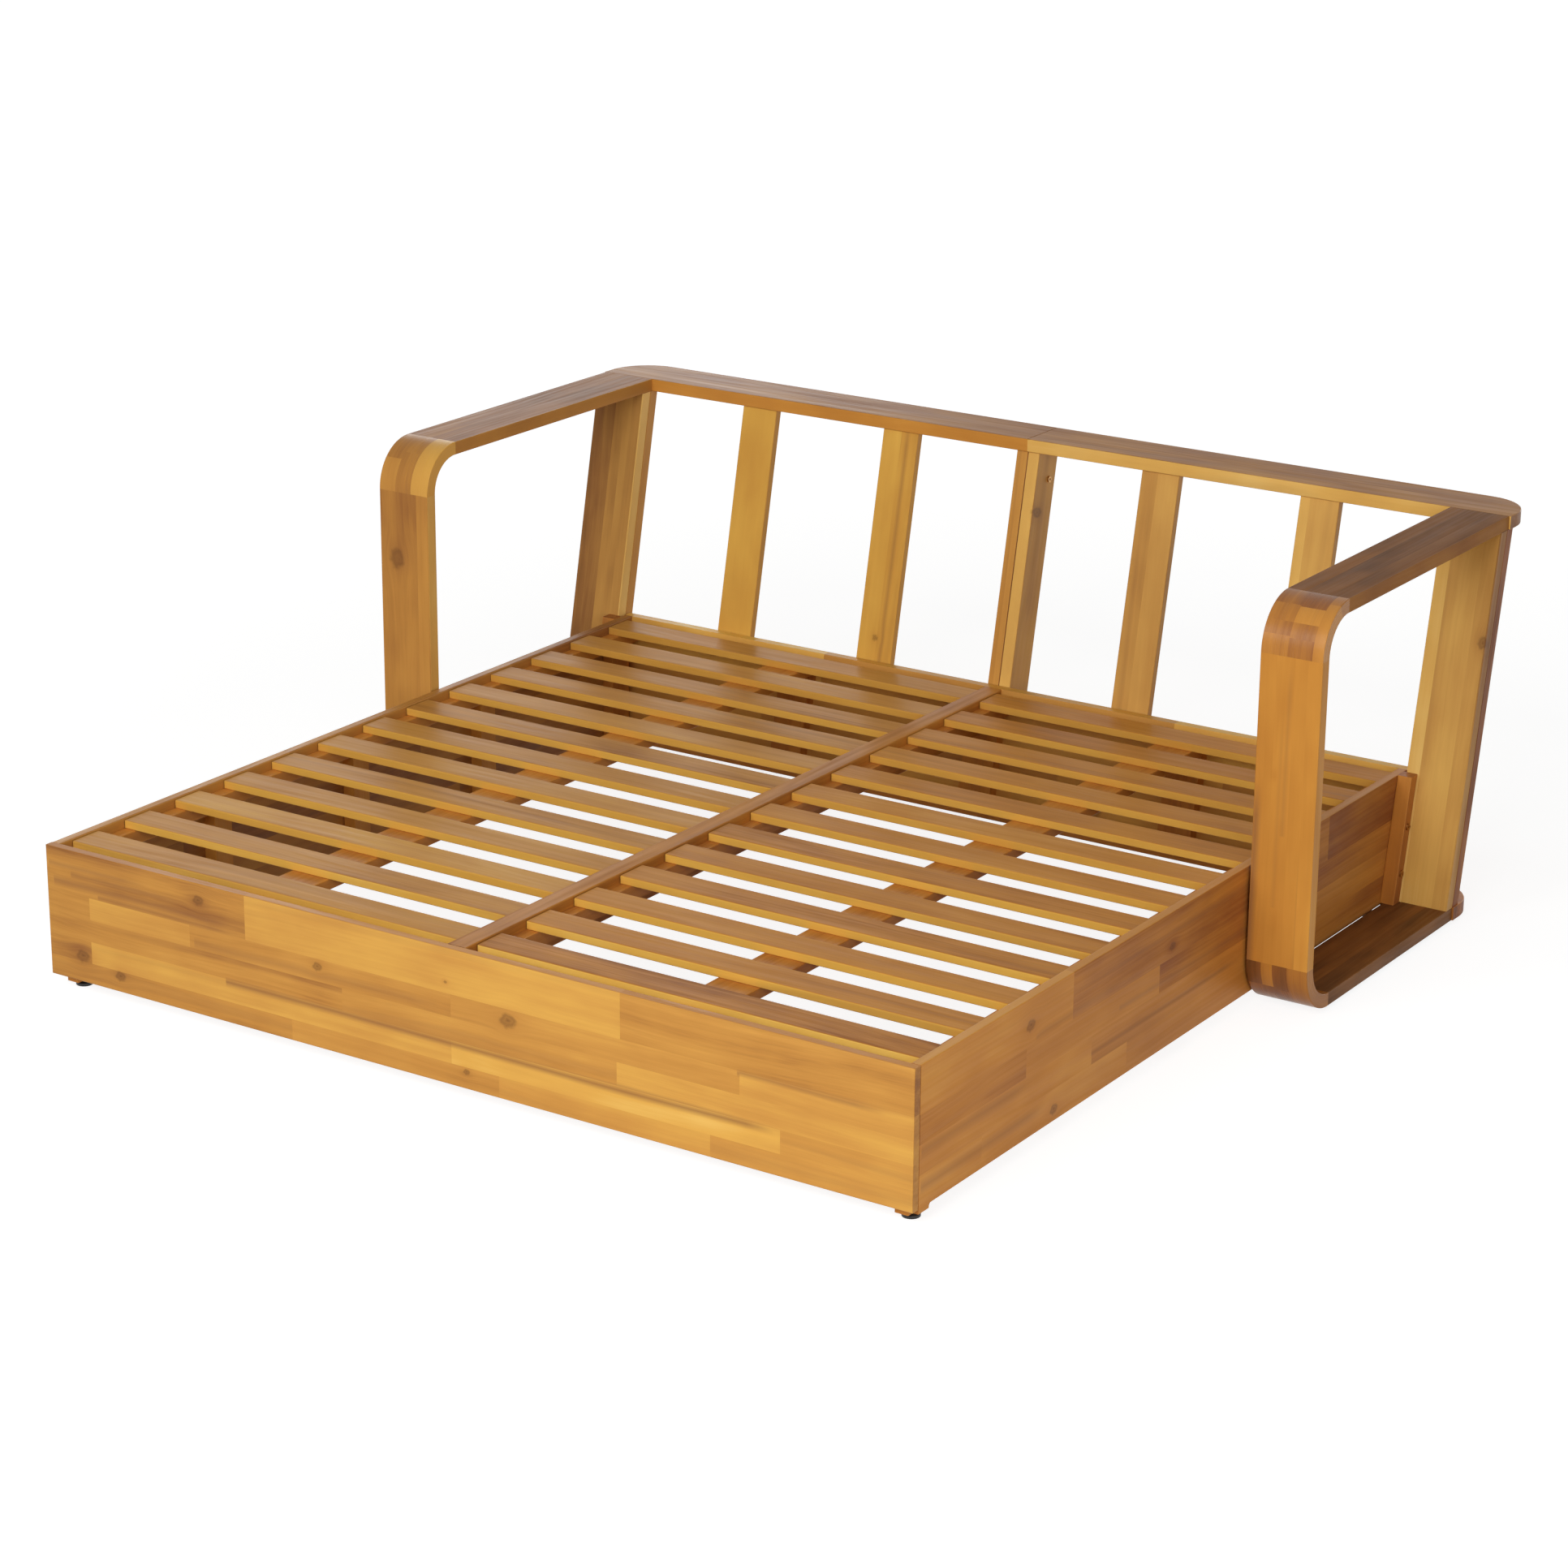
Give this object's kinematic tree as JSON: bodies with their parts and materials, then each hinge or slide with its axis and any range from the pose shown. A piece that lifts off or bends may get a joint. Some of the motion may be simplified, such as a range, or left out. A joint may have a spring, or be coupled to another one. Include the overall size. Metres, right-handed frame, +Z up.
{
  "type": "outdoor daybed",
  "caption": "Wide wooden daybed: square panelled base with a slatted seat, loop-shaped arms and a reclined slatted back, standing on screw levelers.",
  "frame": {"origin": "on the floor, in the middle of the overall width and depth", "axes": "+X to the right as seen from the open front, +Y from the open front edge to the back, +Z up"},
  "size_m": [1.998, 1.925, 0.736],
  "materials": {
    "oiled_wood": "satin oil",
    "slat_wood": "satin oil",
    "black_plastic": "matte",
    "zinc_steel": "zinc plated",
    "bronze_steel": "antique bronze plated"
  },
  "bodies": {
    "frame": {"arm_bottom_rail_L": "oiled_wood", "arm_bottom_rail_R": "oiled_wood", "arm_front_cleat_L": "oiled_wood", "arm_front_cleat_R": "oiled_wood", "arm_front_post_L": "oiled_wood", "arm_front_post_R": "oiled_wood", "arm_lower_corner_L": "oiled_wood", "arm_lower_corner_R": "oiled_wood", "arm_rear_cleat_L": "oiled_wood", "arm_rear_cleat_R": "oiled_wood", "arm_rear_post_L": "oiled_wood", "arm_rear_post_R": "oiled_wood", "arm_upper_corner_L": "oiled_wood", "arm_upper_corner_R": "oiled_wood", "armrest_L": "oiled_wood", "armrest_R": "oiled_wood", "back_bottom_rail_L": "oiled_wood", "back_bottom_rail_R": "oiled_wood", "back_center_post_L": "oiled_wood", "back_center_post_R": "oiled_wood", "back_panel": "oiled_wood", "back_posts": "oiled_wood", "back_slat_inner_L": "oiled_wood", "back_slat_inner_R": "oiled_wood", "back_slat_outer_L": "oiled_wood", "back_slat_outer_R": "oiled_wood", "back_stile_L": "oiled_wood", "back_stile_R": "oiled_wood", "back_top_rail_L": "oiled_wood", "back_top_rail_R": "oiled_wood", "beam_ledgers": "oiled_wood", "center_beam": "oiled_wood", "corner_leg_BL": "oiled_wood", "corner_leg_BR": "oiled_wood", "corner_leg_FL": "oiled_wood", "corner_leg_FR": "oiled_wood", "front_panel": "oiled_wood", "front_posts": "oiled_wood", "joint_bolts": "bronze_steel", "leveler_inserts": "zinc_steel", "mid_support_L": "oiled_wood", "mid_support_R": "oiled_wood", "seat_slats_L": "slat_wood", "seat_slats_R": "slat_wood", "side_battens_L": "oiled_wood", "side_battens_R": "oiled_wood", "side_ledger_L": "oiled_wood", "side_ledger_R": "oiled_wood", "side_panel_L": "oiled_wood", "side_panel_R": "oiled_wood"},
    "pad_FL": {"leveler_pad_FL": "black_plastic"},
    "stem_FL": {"leveler_stem_FL": "zinc_steel"},
    "pad_FR": {"leveler_pad_FR": "black_plastic"},
    "stem_FR": {"leveler_stem_FR": "zinc_steel"},
    "pad_BL": {"leveler_pad_BL": "black_plastic"},
    "stem_BL": {"leveler_stem_BL": "zinc_steel"},
    "pad_BR": {"leveler_pad_BR": "black_plastic"},
    "stem_BR": {"leveler_stem_BR": "zinc_steel"}
  },
  "joints": [
    {"name": "leveler_height_FL", "type": "slide", "parent": "frame", "child": "pad_FL", "axis": [0, 0, 1], "range_m": [-0.012, 0]},
    {"name": "leveler_turn_FL", "type": "hinge", "parent": "pad_FL", "child": "stem_FL", "pos_m": [-0.8445, -0.9155, 0], "axis": [0, 0, 1], "range_deg": [-3460, 0]},
    {"name": "leveler_height_FR", "type": "slide", "parent": "frame", "child": "pad_FR", "axis": [0, 0, 1], "range_m": [-0.012, 0]},
    {"name": "leveler_turn_FR", "type": "hinge", "parent": "pad_FR", "child": "stem_FR", "pos_m": [0.8445, -0.9155, 0], "axis": [0, 0, 1], "range_deg": [-3460, 0]},
    {"name": "leveler_height_BL", "type": "slide", "parent": "frame", "child": "pad_BL", "axis": [0, 0, 1], "range_m": [-0.012, 0]},
    {"name": "leveler_turn_BL", "type": "hinge", "parent": "pad_BL", "child": "stem_BL", "pos_m": [-0.8445, 0.66569, 0], "axis": [0, 0, 1], "range_deg": [-3460, 0]},
    {"name": "leveler_height_BR", "type": "slide", "parent": "frame", "child": "pad_BR", "axis": [0, 0, 1], "range_m": [-0.012, 0]},
    {"name": "leveler_turn_BR", "type": "hinge", "parent": "pad_BR", "child": "stem_BR", "pos_m": [0.8445, 0.66569, 0], "axis": [0, 0, 1], "range_deg": [-3460, 0]}
  ],
  "couplings": [
    {"joint": "leveler_turn_FL", "follows": "leveler_height_FL", "rad_per_m": 5026.5},
    {"joint": "leveler_turn_FR", "follows": "leveler_height_FR", "rad_per_m": 5026.5},
    {"joint": "leveler_turn_BL", "follows": "leveler_height_BL", "rad_per_m": 5026.5},
    {"joint": "leveler_turn_BR", "follows": "leveler_height_BR", "rad_per_m": 5026.5}
  ]
}
